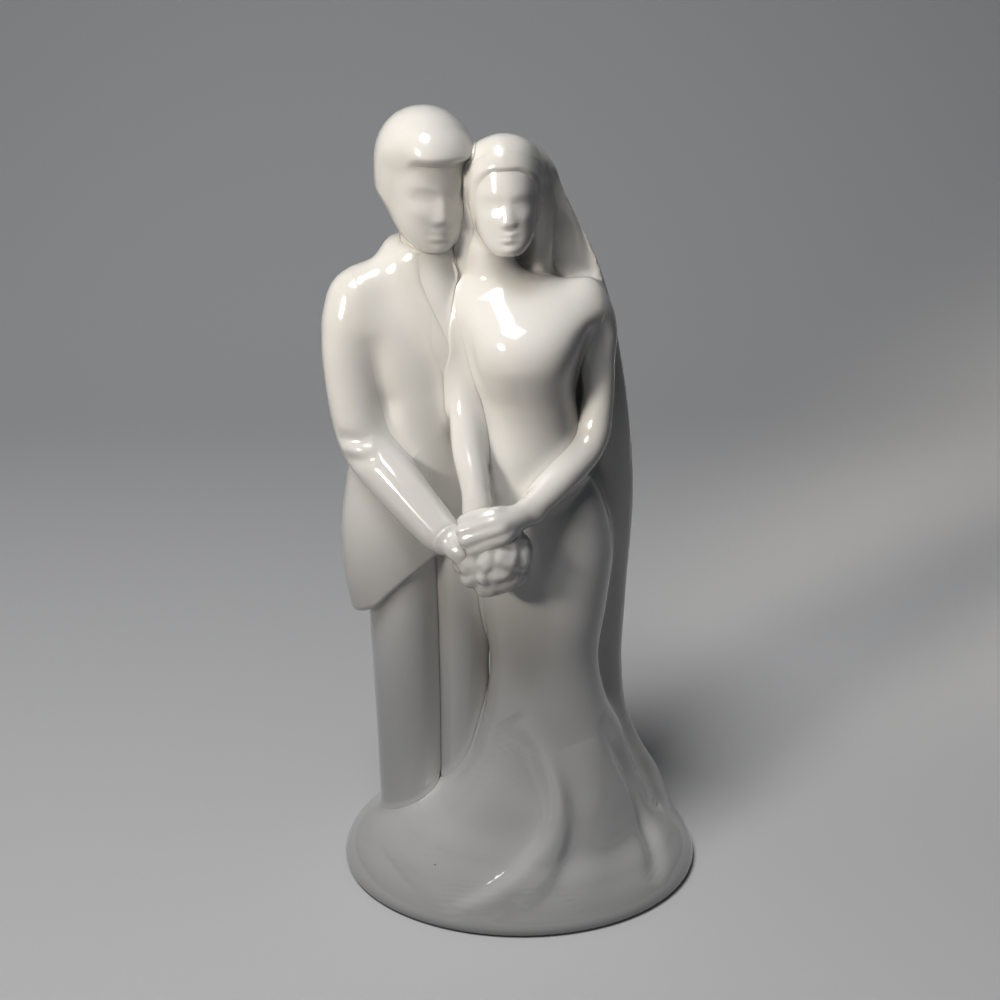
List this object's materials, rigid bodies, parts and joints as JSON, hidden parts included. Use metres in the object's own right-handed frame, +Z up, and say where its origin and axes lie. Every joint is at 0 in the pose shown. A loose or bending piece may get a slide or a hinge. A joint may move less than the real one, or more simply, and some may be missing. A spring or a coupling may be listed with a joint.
{
  "type": "wedding cake topper",
  "caption": "Glazed porcelain figurine of a bride and groom standing cheek to cheek on an oval mound formed by the gown's train, to stand on top of a wedding cake.",
  "frame": {"origin": "middle of the foot, on the surface that the figurine stands on", "axes": "+Z up, -Y towards the viewer in front of the couple, +X to that viewer's right, on the bride's side"},
  "size_m": [0.0722, 0.056, 0.1502],
  "materials": {
    "white_glaze": "glossy white glaze"
  },
  "bodies": {
    "root": {"base_train": "white_glaze", "gown_skirt": "white_glaze", "gown_bodice": "white_glaze", "bride_neck": "white_glaze", "bride_head": "white_glaze", "bride_hair": "white_glaze", "bridal_veil": "white_glaze", "bride_left_arm": "white_glaze", "bride_right_arm": "white_glaze", "bride_left_hand": "white_glaze", "bride_right_hand": "white_glaze", "bouquet": "white_glaze", "groom_right_leg": "white_glaze", "groom_left_leg": "white_glaze", "groom_jacket": "white_glaze", "jacket_collar": "white_glaze", "groom_shirt_front": "white_glaze", "groom_right_sleeve": "white_glaze", "groom_left_sleeve": "white_glaze", "groom_right_hand": "white_glaze", "groom_left_hand": "white_glaze", "groom_neck": "white_glaze", "groom_head": "white_glaze", "groom_hair": "white_glaze"}
  },
  "joints": []
}
